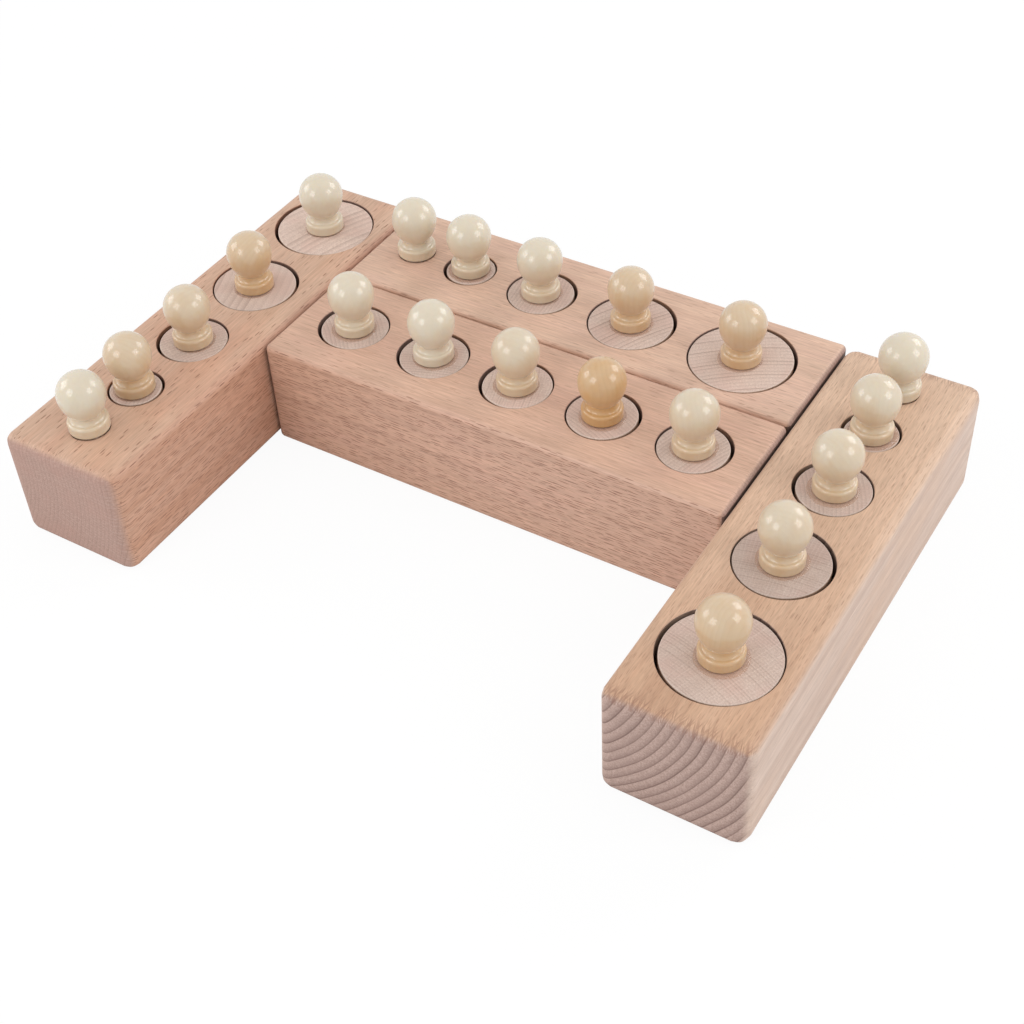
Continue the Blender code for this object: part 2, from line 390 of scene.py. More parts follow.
def model_bar(side):
    """A bar with rounded edges and five drilled sockets, in the place of the frame's block."""
    low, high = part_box(side + "_block")
    bpy.ops.object.select_all(action="DESELECT")
    bpy.ops.mesh.primitive_cube_add(size=1, location=(low + high) / 2)
    bar = bpy.context.object
    bar.name = bar.data.name = side + "_bar"
    bar.scale = high - low
    settle(bar)
    outer = side in OUTER_BARS
    edge_radius = OUTER_EDGE_RADIUS if outer else INNER_EDGE_RADIUS
    corner_radius = OUTER_CORNER_RADIUS if outer else INNER_EDGE_RADIUS
    bpy.ops.object.mode_set(mode="EDIT")
    pick(bar, "edges", lambda edge: edge.verts[0].co.z == edge.verts[1].co.z)
    bpy.ops.transform.edge_bevelweight(value=edge_radius / corner_radius)
    pick(bar, "edges", lambda edge: edge.verts[0].co.z != edge.verts[1].co.z)
    bpy.ops.transform.edge_bevelweight(value=1)
    bpy.ops.object.mode_set(mode="OBJECT")
    apply_modifier(bar, "BEVEL", width=corner_radius, segments=EDGE_SEGMENTS, limit_method="WEIGHT")

    bits = [drill_bit(*socket_of(side, number), high.z) for number in NUMBERS]
    choose(*bits)
    bpy.ops.object.join()
    apply_modifier(bar, "BOOLEAN", operation="DIFFERENCE", solver="EXACT", object=bits[0])
    bpy.data.objects.remove(bits[0], do_unlink=True)
    if outer:
        # The side towards the inner bars is split where they begin, so that its hidden part is a face of
        # its own, which gets painted shade
        inwards = -1 if low.x + high.x > 0 else 1
        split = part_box("front_block")[0].y + INNER_EDGE_RADIUS
        bpy.ops.object.mode_set(mode="EDIT")
        pick(bar, "faces", lambda face: face.normal.x * inwards > SIDE_FACING)
        bpy.ops.mesh.bisect(plane_co=(0, split, 0), plane_no=(0, 1, 0))
        bpy.ops.object.mode_set(mode="OBJECT")
    smooth(bar)
    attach(bar, "blocks")
    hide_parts(side + "_block")
    return bar


bars = {side: model_bar(side) for side in SIDES}
for side, bar in bars.items():
    print(side, "bar:", len(bar.data.polygons), "faces")

# %% [markdown]
# ## The cylinders
#
# Each cylinder was turned from a beech dowel, so its flat top shows end grain and its side shows
# long grain. Its edges are rounded a little, the top one more than the lower one, and a blind bore
# takes the tenon of the knob. The bore is an inset of the top face that is extruded down.

# %% Cylinders
CYLINDER_SIDES = 96
TOP_CHAMFER = 0.45 * MM
TOP_CHAMFER_STEPS = 3
FOOT_CHAMFER = 0.35 * MM
FOOT_CHAMFER_STEPS = 2
BORE_RADIUS = 2.8 * MM
BORE_DEPTH = 6.3 * MM


def model_cylinder(side, number):
    """A turned cylinder with its bore, in the place of the frame's cylinder."""
    low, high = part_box(f"{side}_cylinder_{number}")
    middle, radius = extent((low, high))
    bpy.ops.object.select_all(action="DESELECT")
    bpy.ops.mesh.primitive_cylinder_add(
        vertices=CYLINDER_SIDES, radius=radius, depth=high.z - low.z, location=middle
    )
    cylinder = bpy.context.object
    cylinder.name = cylinder.data.name = f"{side}_turned_{number}"
    settle(cylinder)
    bpy.ops.object.mode_set(mode="EDIT")
    pick(cylinder, "edges", lambda edge: level(edge, high.z))
    bpy.ops.mesh.bevel(offset=TOP_CHAMFER, segments=TOP_CHAMFER_STEPS, affect="EDGES")
    pick(cylinder, "edges", lambda edge: level(edge, low.z))
    bpy.ops.mesh.bevel(offset=FOOT_CHAMFER, segments=FOOT_CHAMFER_STEPS, affect="EDGES")
    pick(cylinder, "faces", lambda face: level(face, high.z))
    bpy.ops.mesh.inset(thickness=radius - TOP_CHAMFER - BORE_RADIUS)
    bpy.ops.mesh.extrude_region_move(TRANSFORM_OT_translate={"value": (0, 0, -BORE_DEPTH)})
    bpy.ops.object.mode_set(mode="OBJECT")
    smooth(cylinder)
    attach(cylinder, f"{side}_piece_{number}")
    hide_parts(f"{side}_cylinder_{number}")
    return cylinder


cylinders = {(side, number): model_cylinder(side, number) for side in SIDES for number in NUMBERS}
print("cylinders:", len(cylinders))

# %% [markdown]
# ## The knobs
#
# A knob is turned in one piece: a ball, a hollow neck that flares out to a small rounded rim, a
# straight collar with a rounded foot, and a tenon. A sphere gets its crown and its longer lower
# half by stretching and is cut off at the neck. The open ring is then drawn out step by step along
# the profile of the collar.

# %% Knobs
KNOB_SIDES = 64
BALL_RINGS = 48
KNOB_HEIGHT = 18.4 * MM
BALL_RADIUS = 6.8 * MM
BALL_CROWN = 6.6 * MM
# Radii, and heights above the seat, from the neck down to the foot
NECK_RADIUS = 4.1 * MM
NECK_HEIGHT = 5.2 * MM
RIM_RADIUS = 5.05 * MM
RIM_HEIGHT = 3.4 * MM
COLLAR_RADIUS = 5.85 * MM
SHOULDER_HEIGHT = 2.4 * MM
HEEL_HEIGHT = 0.4 * MM
FOOT_RADIUS = 5.45 * MM
TENON_RADIUS = 2.5 * MM
TENON_LENGTH = 6.0 * MM
CURVE_STEPS = 8


def quarter(start, end, hollow):
    """Points of a quarter ellipse from start to end; a hollow one leaves start upright."""
    points = []
    for step in range(1, CURVE_STEPS + 1):
        angle = step / CURVE_STEPS * pi / 2
        across, down = (1 - cos(angle), sin(angle)) if hollow else (sin(angle), 1 - cos(angle))
        points.append((start[0] + (end[0] - start[0]) * across, start[1] + (end[1] - start[1]) * down))
    return points


def knob_foot():
    """The profile below the neck, as (radius, height above the seat)."""
    rim = (RIM_RADIUS, RIM_HEIGHT)
    heel = (COLLAR_RADIUS, HEEL_HEIGHT)
    points = quarter((NECK_RADIUS, NECK_HEIGHT), rim, True)
    points += quarter(rim, (COLLAR_RADIUS, SHOULDER_HEIGHT), False) + [heel]
    points += quarter(heel, (FOOT_RADIUS, 0), True)
    points += [(TENON_RADIUS, 0), (TENON_RADIUS, -TENON_LENGTH)]
    return points


def model_knob():
    """One knob that stands with its seat at the world's origin."""
    equator = KNOB_HEIGHT - BALL_CROWN
    neck_share = NECK_RADIUS / BALL_RADIUS
    below = (equator - NECK_HEIGHT) / sqrt(1 - neck_share ** 2)
    bpy.ops.object.select_all(action="DESELECT")
    bpy.ops.mesh.primitive_uv_sphere_add(
        segments=KNOB_SIDES, ring_count=BALL_RINGS, radius=BALL_RADIUS, location=(0, 0, equator)
    )
    knob = bpy.context.object
    settle(knob)
    bpy.ops.object.mode_set(mode="EDIT")
    for test, height in ((lambda v: v.co.z > equator, BALL_CROWN), (lambda v: v.co.z < equator, below)):
        pick(knob, "verts", test)
        stretch = (1, 1, height / BALL_RADIUS)
        bpy.ops.transform.resize(value=stretch, center_override=(0, 0, equator))
    bpy.ops.mesh.select_all(action="SELECT")
    bpy.ops.mesh.bisect(plane_co=(0, 0, NECK_HEIGHT), plane_no=(0, 0, 1), clear_inner=True)
    pick(knob, "edges", lambda edge: edge.is_boundary)
    last = (NECK_RADIUS, NECK_HEIGHT)
    for point in knob_foot():
        draw_out((0, 0), last, point)
        last = point
    bpy.ops.mesh.edge_face_add()
    bpy.ops.mesh.select_all(action="SELECT")
    bpy.ops.mesh.remove_doubles(threshold=SAME_PLACE)
    bpy.ops.mesh.normals_make_consistent(inside=False)
    bpy.ops.object.mode_set(mode="OBJECT")
    return knob


def place_knob(pattern, side, number):
    """A copy of the knob on its cylinder, with its own mesh."""
    low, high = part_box(f"{side}_knob_{number}")
    middle = (low + high) / 2
    knob = pattern.copy()
    knob.data = pattern.data.copy()
    bpy.context.scene.collection.objects.link(knob)
    knob.name = knob.data.name = f"{side}_lacquered_{number}"
    knob.location = (middle.x, middle.y, high.z - KNOB_HEIGHT)
    settle(knob)
    smooth(knob)
    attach(knob, f"{side}_piece_{number}")
    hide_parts(f"{side}_knob_{number}")
    return knob


pattern = model_knob()
knobs = {(side, number): place_knob(pattern, side, number) for side in SIDES for number in NUMBERS}
bpy.data.objects.remove(pattern, do_unlink=True)
print("knobs:", len(knobs), "of", len(knobs["left", 1].data.polygons), "faces")

# %% [markdown]
# ## Glue
#
# Clear glue was pressed out when the knobs went in. It stands round each collar as a low shiny
# fillet of uneven width, a little more on one side. A torus is flattened, and a Displace modifier
# with a cloud pattern makes it uneven, each one from another place in the clouds. Its lower half is
# then pressed flat on the wood. The smallest cylinders are narrower than their collars, so no glue
# shows there.

# %% Glue

# Radius of a ring's middle line, half its width, and its height as a share of that
GLUE_RING = 5.8 * MM
GLUE_WIDTHS = {"left": 0.4 * MM, "back": 0.7 * MM, "front": 0.8 * MM, "right": 1.1 * MM}
GLUE_RISE = 0.3
GLUE_WOBBLE = 0.22 * MM
GLUE_SHIFT = 0.35 * MM
GLUE_PATCH = 3.5 * MM
# The turn of each ring, in degrees, so that no two have their wide part in one direction
GLUE_TURN_BY_NUMBER = 137
GLUE_TURN_BY_SIDE = 60
GLUE_SIDES = 96
GLUE_ROWS = 12

clouds = bpy.data.textures.new("glue_clouds", "CLOUDS")
clouds.noise_scale = GLUE_PATCH


def shows_glue(side, number):
    """Whether the cylinder is wide enough for glue to stand round the collar on it."""
    return extent(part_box(f"{side}_cylinder_{number}"))[1] > GLUE_RING + GLUE_WIDTHS[side]


def glue_ring(side, number):
    """The uneven fillet of clear glue round the foot of one knob."""
    middle = extent(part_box(f"{side}_knob_{number}"))[0]
    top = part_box(f"{side}_cylinder_{number}")[1].z
    turn = radians(GLUE_TURN_BY_NUMBER * number + GLUE_TURN_BY_SIDE * SIDES.index(side))
    bpy.ops.object.select_all(action="DESELECT")
    bpy.ops.mesh.primitive_torus_add(
        major_segments=GLUE_SIDES,
        minor_segments=GLUE_ROWS,
        major_radius=GLUE_RING,
        minor_radius=GLUE_WIDTHS[side],
        location=(middle.x + GLUE_SHIFT * cos(turn), middle.y + GLUE_SHIFT * sin(turn), top),
    )
    ring = bpy.context.object
    ring.name = ring.data.name = f"{side}_glue_{number}"
    ring.scale = (1, 1, GLUE_RISE)
    settle(ring)
    wobble = {"strength": GLUE_WOBBLE * 2, "mid_level": 0.5}
    apply_modifier(ring, "DISPLACE", texture=clouds, texture_coords="GLOBAL", **wobble)
    bpy.ops.object.mode_set(mode="EDIT")
    seat = top + TINY
    pick(ring, "verts", lambda vertex: vertex.co.z < seat)
    bpy.ops.transform.resize(value=(1, 1, 0), center_override=(0, 0, seat))
    bpy.ops.object.mode_set(mode="OBJECT")
    smooth(ring)
    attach(ring, f"{side}_piece_{number}")
    return ring


glued = [(side, number) for side in SIDES for number in NUMBERS if shows_glue(side, number)]
glue = [glue_ring(side, number) for side, number in glued]
print("glue rings:", len(glue))

# %% [markdown]
# ## Beech
#
# Beech is a pinkish hardwood without a pattern at first sight. Close up it has thin growth rings,
# short dark flecks where its rays come out on a face that follows the rings, and fine pores. Sawn
# across, it is greyer and the rings stand out. The pieces are sanded and left bare, so the surface
# is nearly matt.
#
# The pattern is solid. The distance from the heart gives the rings, the angle round the heart gives
# the rays across the end grain, and stretched noise gives the fibres. Spindles in a lattice of
# cells, one in each, are the dark flecks and specks. Two colours are mixed by how squarely the face
# cuts the fibres.

# %% Beech
LONG_Y, LONG_X, UPRIGHT = (0, 1, 0), (1, 0, 0), (0, 0, 1)

# Sizes of the patterns in millimetres, across the trunk twice and then along it. The real fibres
# are about 0.02 mm thick, the pores 0.06 mm and the fine rays 0.1 mm, which is too fine to show
# here, so all three are drawn as coarse as they need to show.
SWAY_CELL = (28, 28, 160)
SWAY = 1.2
FIBRE_CELL = (0.32, 0.32, 6)
STREAK_CELL = (3.5, 3.5, 120)
BLUSH_CELL = (11, 11, 40)
PORE_CELL = (0.4, 0.4, 1.4)
STROKE_CELL = (0.32, 3, 7)
STROKE_LEANS = (17, -17)
STROKE_ZONE = 6
BAR_HALF_LENGTH = 74
SPECK_CELL = (1.1, 1.1, 3.4)
SPECK_HALF = (0.2, 0.2, 1.5)
FLECK_SCATTER = 0.85
# Rays are spaced by the angle round the heart, in mm at this distance from it
RAY_REFERENCE = 60
RAY_LINE = 0.65
RAY_LEAST = 0.3
# Spans of a value between which a share rises or falls
NOISE_SPAN = (0.3, 0.7)
BLUSH_SPAN = (0.45, 0.7)
CUT_BLUSH_SPAN = (0.4, 0.65)
STROKE_SPAN = (0.5, 0.64)
SLOW_SPAN = (0.2, 0.95)
LINE_SPAN = (0.8, 0.9)
RING_END = (0.97, 1.0)
SPINDLE_EDGE = (0.6, 1.0)
SPINDLE_CHANCE = (0.1, 0.8)
SPINDLE_LEAST = 0.3
# The same for how squarely a face looks along an axis
STROKE_FACING = (0.25, 0.6)
RING_FACING = (0.2, 0.9)
CUT_FACING = (0.35, 0.9)
ARRIS_START = (0.2, 0.45)
ARRIS_END = (0.85, 0.98)
# Sanded wood is rougher to the light where its fibres are cut
ROUGHNESS_LONG = 0.52
ROUGHNESS_CUT = 0.68
BUMP_DEPTH = 0.03 * MM
BUMP_STRENGTH = 0.5
FIBRE_DEPTH_CUT = 0.35
# Shares of the tone that are left on the walls of a socket and in the gap between two bars, as painted
# shade
SOCKET_PAINTED_SHADE = 0.45
GAP_PAINTED_SHADE = 0.4
GAP_REACH = 0.6 * MM
# Greatest part along Z of the normal of an upright face
UPRIGHT_FACE = 0.1
LINE_COLOUR = linear("9a6f55")
FLECK_COLOUR = linear("7b4a35")
SPECK_COLOUR = linear("845842")
STROKE_COLOUR = linear("8a6150")
RIM_HIGHLIGHT_COLOUR = linear("eadbcf")
RAY_COLOUR = linear("eadcd3")


def stretched(tree, place, cell, detail=2):
    """Noise with cells of the given size in millimetres across and along the trunk."""
    scaled = add(tree, "VectorMath", {0: place, 1: cell}, operation="DIVIDE")
    return add(tree, "TexNoise", {"Vector": scaled, "Scale": 1, "Detail": detail})


def blend(tree, share, first, second, kind="MIX"):
    """A colour mixed from two by a share."""
    inputs = {"Factor": share, 6: first, 7: second}
    return add(tree, "Mix", inputs, 2, data_type="RGBA", blend_type=kind)


def ramp(tree, value, start, end, low=0.0, high=1.0):
    """A value that rises smoothly from low to high between start and end."""
    limits = {"Value": value, "From Min": start, "From Max": end, "To Min": low, "To Max": high}
    return add(tree, "MapRange", limits, interpolation_type="SMOOTHSTEP")


def times(tree, first, second):
    """The product of two values."""
    return add(tree, "Math", {0: first, 1: second}, operation="MULTIPLY")


def from_the_heart(tree, place):
    """Distance of a place from the heart of the trunk."""
    across = add(tree, "VectorMath", {0: place, 1: (1, 1, 0)}, operation="MULTIPLY")
    return add(tree, "VectorMath", {0: across}, "Value", operation="LENGTH")


def in_the_tree(tree):
    """Place in the trunk and distance from its heart. No trunk is straight, so both sway a little."""
    place = add(tree, "Attribute", output="Vector", attribute_name="grain")
    sway = stretched(tree, place, SWAY_CELL).node.outputs["Color"]
    sway = add(tree, "VectorMath", {0: sway, 1: (0.5, 0.5, 0.5)}, operation="SUBTRACT")
    sway = add(tree, "VectorMath", {0: sway, "Scale": SWAY}, operation="SCALE")
    place = add(tree, "VectorMath", {0: place, 1: sway}, operation="ADD")
    return place, from_the_heart(tree, place)


def growth_rings(tree, radius, spacing, line_part, least):
    """Each ring darkens a little and ends in a thin line, in some years more than in others."""
    year = times(tree, radius, 1 / spacing)
    inside = add(tree, "Math", {0: year}, operation="FRACT")
    slow = ramp(tree, inside, *SLOW_SPAN, 0.0, 1 - line_part)
    line = ramp(tree, inside, *LINE_SPAN, 0.0, line_part)
    dark = add(tree, "Math", {0: slow, 1: line})
    dark = times(tree, dark, ramp(tree, inside, *RING_END, 1.0, 0.0))
    whole = add(tree, "Math", {0: year}, operation="FLOOR")
    vigour = add(tree, "TexWhiteNoise", {"W": whole}, noise_dimensions="1D")
    return times(tree, dark, ramp(tree, vigour, 0.0, 1.0, least, 1.0))


def spindles(tree, place, cell, half, scatter=1.0):
    """Short dark spindles along the fibres, one in each cell, some of them faint."""
    spots = add(tree, "VectorMath", {0: place, 1: cell}, operation="DIVIDE")
    cells = {"Vector": spots, "Scale": 1, "Randomness": scatter}
    nearest = add(tree, "TexVoronoi", cells, output="Position")
    offset = add(tree, "VectorMath", {0: spots, 1: nearest}, operation="SUBTRACT")
    share = [whole / part for whole, part in zip(cell, half)]
    offset = add(tree, "VectorMath", {0: offset, 1: share}, operation="MULTIPLY")
    away = add(tree, "VectorMath", {0: offset}, "Value", operation="LENGTH")
    chance = add(tree, "SeparateColor", {0: nearest.node.outputs["Color"]})
    dark = ramp(tree, chance, *SPINDLE_CHANCE, SPINDLE_LEAST, 1.0)
    return times(tree, ramp(tree, away, *SPINDLE_EDGE, 1.0, 0.0), dark)


def turned_to(tree, axis):
    """How squarely the surface faces along an axis, from 0 to 1."""
    facing = add(tree, "TexCoord", output="Normal")
    square = add(tree, "VectorMath", {0: facing, 1: axis}, "Value", operation="DOT_PRODUCT")
    return add(tree, "Math", {0: square}, operation="ABSOLUTE")


def long_grain(tree, place, dark, flat, look):
    """The surface along the fibres."""
    streak = ramp(tree, stretched(tree, place, STREAK_CELL, 3), *NOISE_SPAN)
    plain = blend(tree, streak, *[linear(colour) for colour in look["plank"]])
    ringed = blend(tree, streak, *[linear(colour) for colour in look["ring_plank"]])
    along = add(tree, "SeparateXYZ", {0: place}, "Z")
    ringed = blend(tree, ramp(tree, along, *look["far_stretch"]), ringed, linear(look["far_colour"]))
    colour = blend(tree, flat, plain, ringed)
    blush = ramp(tree, stretched(tree, place, BLUSH_CELL), *BLUSH_SPAN, 0.0, look["blush_share"])
    colour = blend(tree, blush, colour, linear(look["blush"]))
    colour = blend(tree, times(tree, dark, look["line_share"]), colour, LINE_COLOUR)
    speck = spindles(tree, place, SPECK_CELL, SPECK_HALF)
    colour = blend(tree, times(tree, speck, look["speck_share"]), colour, SPECK_COLOUR)
    fleck = spindles(tree, place, look["fleck_cell"], look["fleck_half"], FLECK_SCATTER)
    fleck = times(tree, fleck, flat)
    return blend(tree, times(tree, fleck, look["fleck_share"]), colour, FLECK_COLOUR)


def end_grain(tree, place, radius, dark, look):
    """The surface across the fibres: pores, rings and the light rays that cross them squarely."""
    pore = ramp(tree, stretched(tree, place, PORE_CELL), *NOISE_SPAN)
    colour = blend(tree, pore, *[linear(colour) for colour in look["cut"]])
    blush = ramp(tree, stretched(tree, place, BLUSH_CELL), *CUT_BLUSH_SPAN, 0.0, look["blush_share"])
    colour = blend(tree, blush, colour, linear(look["cut_blush"]))
    colour = blend(tree, times(tree, dark, look["ring_share"]), colour, linear(look["cut_line"]))
    spread = add(tree, "SeparateXYZ", {0: place}).node.outputs
    angle = add(tree, "Math", {0: spread["Y"], 1: spread["X"]}, operation="ARCTAN2")
    ray = growth_rings(tree, times(tree, angle, RAY_REFERENCE), look["ray_spacing"], RAY_LINE, RAY_LEAST)
    return blend(tree, times(tree, ray, look["ray_share"]), colour, RAY_COLOUR)


def end_strokes(tree, place, look):
    """Thin strokes that cross each other where the top of a bar is sanded over its end."""
    crossing = None
    for lean in STROKE_LEANS:
        turn = {"Vector": place, "Axis": (0, 1, 0), "Angle": radians(lean)}
        leaned = add(tree, "VectorRotate", turn, rotation_type="AXIS_ANGLE")
        stroke = ramp(tree, stretched(tree, leaned, STROKE_CELL, 1), *STROKE_SPAN)
        crossing = add(tree, "Math", {0: crossing, 1: stroke}, operation="MAXIMUM") if crossing else stroke
    along = add(tree, "SeparateXYZ", {0: place}, "Z")
    away = add(tree, "Math", {0: along, 1: look["middle"]}, operation="SUBTRACT")
    away = add(tree, "Math", {0: away}, operation="ABSOLUTE")
    zone = ramp(tree, away, BAR_HALF_LENGTH - STROKE_ZONE, BAR_HALF_LENGTH - STROKE_ZONE / 3)
    zone = times(tree, zone, ramp(tree, turned_to(tree, UPRIGHT), *STROKE_FACING))
    return times(tree, times(tree, crossing, zone), look["stroke_share"])


def beech(name, fibres, ring_face, look):
    """Sanded bare beech: its fibres run along one axis, and its rays come out on the ring face."""
    material, tree, shader = new_material(name)
    place, radius = in_the_tree(tree)
    dark = growth_rings(tree, radius, look["ring_spacing"], look["line_part"], look["least_ring"])
    flat = ramp(tree, turned_to(tree, ring_face), *RING_FACING)
    square = turned_to(tree, fibres)
    end = ramp(tree, square, *CUT_FACING)
    long = long_grain(tree, place, dark, flat, look)
    cut = end_grain(tree, place, radius, dark, look)
    colour = blend(tree, end, long, cut)

    if look["stroke_share"]:
        colour = blend(tree, end_strokes(tree, place, look), colour, STROKE_COLOUR)

    # The edge between the two is painted lighter on a dowel, as a painted highlight along its rim
    arris = times(tree, ramp(tree, square, *ARRIS_START), ramp(tree, square, *ARRIS_END, 1.0, 0.0))
    colour = blend(tree, times(tree, arris, look["rim_highlight_share"]), colour, RIM_HIGHLIGHT_COLOUR)

    fibre = stretched(tree, place, FIBRE_CELL)
    tone = add(tree, "Attribute", output="Fac", attribute_name="tone")
    depth = ramp(tree, end, 0.0, 1.0, look["fibre_depth"], FIBRE_DEPTH_CUT)
    shade = add(tree, "Math", {0: fibre, 1: 0.5}, operation="SUBTRACT")
    shade = add(tree, "Math", {0: shade, 1: depth, 2: 1}, operation="MULTIPLY_ADD")
    # The tone holds each piece's own tone and, on the bars, painted shade in the sockets and gaps
    shade = times(tree, shade, tone)
    colour = add(tree, "VectorMath", {0: colour, "Scale": shade}, operation="SCALE")
    tree.links.new(colour, shader.inputs["Base Color"])
    rough = ramp(tree, end, 0.0, 1.0, ROUGHNESS_LONG, ROUGHNESS_CUT)
    tree.links.new(rough, shader.inputs["Roughness"])
    bump = add(tree, "Bump", {"Height": fibre, "Distance": BUMP_DEPTH, "Strength": BUMP_STRENGTH})
    tree.links.new(bump, shader.inputs["Normal"])
    return material


def lies_close(point, box):
    """Whether a point is in a box or just outside it."""
    low, high = box
    return all(low[axis] - GAP_REACH < point[axis] < high[axis] + GAP_REACH for axis in range(3))


def lay_tone_and_shade(piece, tone, sockets=(), neighbours=()):
    """Stores a number on every face, which its material reads as lightness or hue.

    The walls of its sockets are darkened as painted shade, where the drilled recess lies in shadow.
    Sides that stand close against another bar are darkened too, as painted shade, so that the gap
    between them reads as a thin line.
    """
    top = max(vertex.co.z for vertex in piece.data.vertices)
    tones = []
    for face in piece.data.polygons:
        deep = face.center.z < top - RIM_BREAK
        drilled = deep and any((face.center.xy - axis).length <= radius for axis, radius, _ in sockets)
        ahead = face.center + face.normal * GAP_REACH
        hidden = abs(face.normal.z) < UPRIGHT_FACE and any(lies_close(ahead, box) for box in neighbours)
        # Socket walls and sides hidden against another bar get painted shade
        tones.append(tone * (SOCKET_PAINTED_SHADE if drilled else GAP_PAINTED_SHADE if hidden else 1))
    stored = piece.data.attributes.new("tone", "FLOAT", "FACE")
    stored.data.foreach_set("value", tones)


# %% Woods of the bars and cylinders

# Cells of the flecks in mm, long into the wood under the face that shows them
DEEP_X, DEEP_Y = (6, 0.9, 4.6), (0.9, 6, 4.6)
# In each look, plank is the long grain and ring_plank the same on the face with the flecks, which
# turns to far_colour over a stretch of the trunk, along the bar. On the left and front bars this
# change is painted shade, darker towards the inner corner where the two meet. Blush lies on both in
# patches, and cut is the end grain. Shares run from 0 to 1, and spacings, stretches and halves of
# flecks are in mm.
BAR_LOOK = {
    "line_part": 0.65,
    "least_ring": 0.6,
    "cut_line": "7e6056",
    "ray_spacing": 1.1,
    "stroke_share": 0,
    "rim_highlight_share": 0,
}
BAR_LOOKS = {
    "left": {
        **BAR_LOOK,
        "plank": ("d3b098", "cca78e"),
        "ring_plank": ("cda28a", "c4967c"),
        # Its side gets darker towards the corner with the front bar, as painted shade
        "far_stretch": (-80, 80),
        "far_colour": "c0917a",
        "blush": "cf9d83",
        "blush_share": 0.5,
        "ring_spacing": 1.4,
        "line_share": 0.2,
        "fibre_depth": 0.6,
        "speck_share": 0.85,
        "fleck_cell": DEEP_X,
        "fleck_half": (12, 0.14, 2.0),
        "fleck_share": 0.8,
        "cut": ("a8877b", "bb9b8e"),
        "cut_blush": "b58f82",
        "ring_share": 0.35,
        "ray_share": 0.12,
        "stroke_share": 0.18,
        "middle": 0,
    },
    "back": {
        **BAR_LOOK,
        "plank": ("dab8a1", "d3b09a"),
        "ring_plank": ("d0ab94", "c6a088"),
        "far_stretch": (300, 500),
        "far_colour": "cba58e",
        "blush": "dcb7a4",
        "blush_share": 0.5,
        "ring_spacing": 1.3,
        "line_share": 0.2,
        "fibre_depth": 0.65,
        "speck_share": 0.5,
        "fleck_cell": DEEP_Y,
        "fleck_half": (0.12, 12, 1.8),
        "fleck_share": 0.5,
        "cut": ("a68a80", "b99d92"),
        "cut_blush": "b09086",
        "ring_share": 0.5,
        "ray_share": 0.1,
    },
    "front": {
        **BAR_LOOK,
        "plank": ("d6b099", "cfa992"),
        "ring_plank": ("d1a78f", "c69d87"),
        # Its front face is darker towards the corner with the left bar, as painted shade
        "far_stretch": (820, 980),
        "far_colour": "d2ac97",
        "blush": "d6aa98",
        "blush_share": 0.3,
        "ring_spacing": 1.3,
        "line_share": 0.22,
        "fibre_depth": 0.65,
        "speck_share": 0.5,
        "fleck_cell": DEEP_Y,
        "fleck_half": (0.13, 12, 2.2),
        "fleck_share": 0.85,
        "cut": ("a68a80", "b99d92"),
        "cut_blush": "b09086",
        "ring_share": 0.5,
        "ray_share": 0.1,
    },
    "right": {
        **BAR_LOOK,
        "plank": ("d9c2b3", "cab0a0"),
        "ring_plank": ("cca689", "c29a7e"),
        "far_stretch": (1420, 1570),
        "far_colour": "dabaa0",
        "blush": "d9b79d",
        "blush_share": 0.4,
        "ring_spacing": 2.5,
        "line_part": 0.4,
        "least_ring": 0.75,
        "line_share": 0.12,
        "fibre_depth": 0.55,
        "speck_share": 0.3,
        "fleck_cell": DEEP_Y,
        "fleck_half": (0.14, 7, 1.4),
        "fleck_share": 0.3,
        "cut": ("ad9186", "c4a99e"),
        "cut_blush": "b0958b",
        "cut_line": "6c5048",
        "ring_share": 0.8,
        "ray_share": 0,
        "stroke_share": 0.5,
        "middle": 1500,
    },
}
DOWEL_LOOK = {
    "plank": ("cba88f", "bf9a80"),
    "ring_plank": ("cba88f", "bf9a80"),
    "far_stretch": (0, 1),
    "far_colour": "c6a289",
    "blush": "d0a890",
    "blush_share": 0.5,
    "least_ring": 0.25,
    "line_share": 0.25,
    "fibre_depth": 0.8,
    "speck_share": 0.3,
    "fleck_cell": DEEP_Y,
    "fleck_half": (0.14, 12, 1.6),
    "fleck_share": 0.4,
    "cut": ("c6aea1", "d5c0b3"),
    "cut_blush": "cdada0",
    "cut_line": "8e7162",
    "ray_spacing": 0.65,
    "stroke_share": 0,
    # A painted highlight along the chamfer at the top of each dowel
    "rim_highlight_share": 0.5,
}
# Where each bar lay in its tree: across from the heart and along the trunk, in mm
BAR_HEARTS = {"left": (55, 12, 0), "back": (8, 60, 400), "front": (8, 62, 900), "right": (54, 34, 1500)}
BAR_TONE = 1
for side, bar in bars.items():
    if side in OUTER_BARS:
        fibres, ring_face = LONG_Y, LONG_X if side == "left" else UPRIGHT
    else:
        fibres, ring_face = LONG_X, LONG_Y
    lay_grain(bar, fibres, BAR_HEARTS[side])
    neighbours = [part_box(other + "_block") for other in SIDES if other != side]
    # The socket walls and the sides close against another bar get painted shade
    lay_tone_and_shade(bar, BAR_TONE, [socket_of(side, number) for number in NUMBERS], neighbours)
    paint(bar, beech("beech_" + side, fibres, ring_face, BAR_LOOKS[side]))

# The dowels came from trees that grew at different speeds; the spacing of the rings is in mm
DOWEL_GROWTHS = {
    "slow": {"ring_spacing": 0.8, "line_part": 0.2, "ring_share": 0.42, "ray_share": 0.3},
    "even": {"ring_spacing": 1.1, "line_part": 0.3, "ring_share": 0.35, "ray_share": 0.2},
    "lined": {"ring_spacing": 1.5, "line_part": 0.7, "ring_share": 0.75, "ray_share": 0.1},
    "fast": {"ring_spacing": 2.4, "line_part": 0.1, "ring_share": 0.45, "ray_share": 0.08},
}
dowels = {
    growth: beech("beech_end_grain_" + growth, UPRIGHT, LONG_X, {**DOWEL_LOOK, **rings})
    for growth, rings in DOWEL_GROWTHS.items()
}
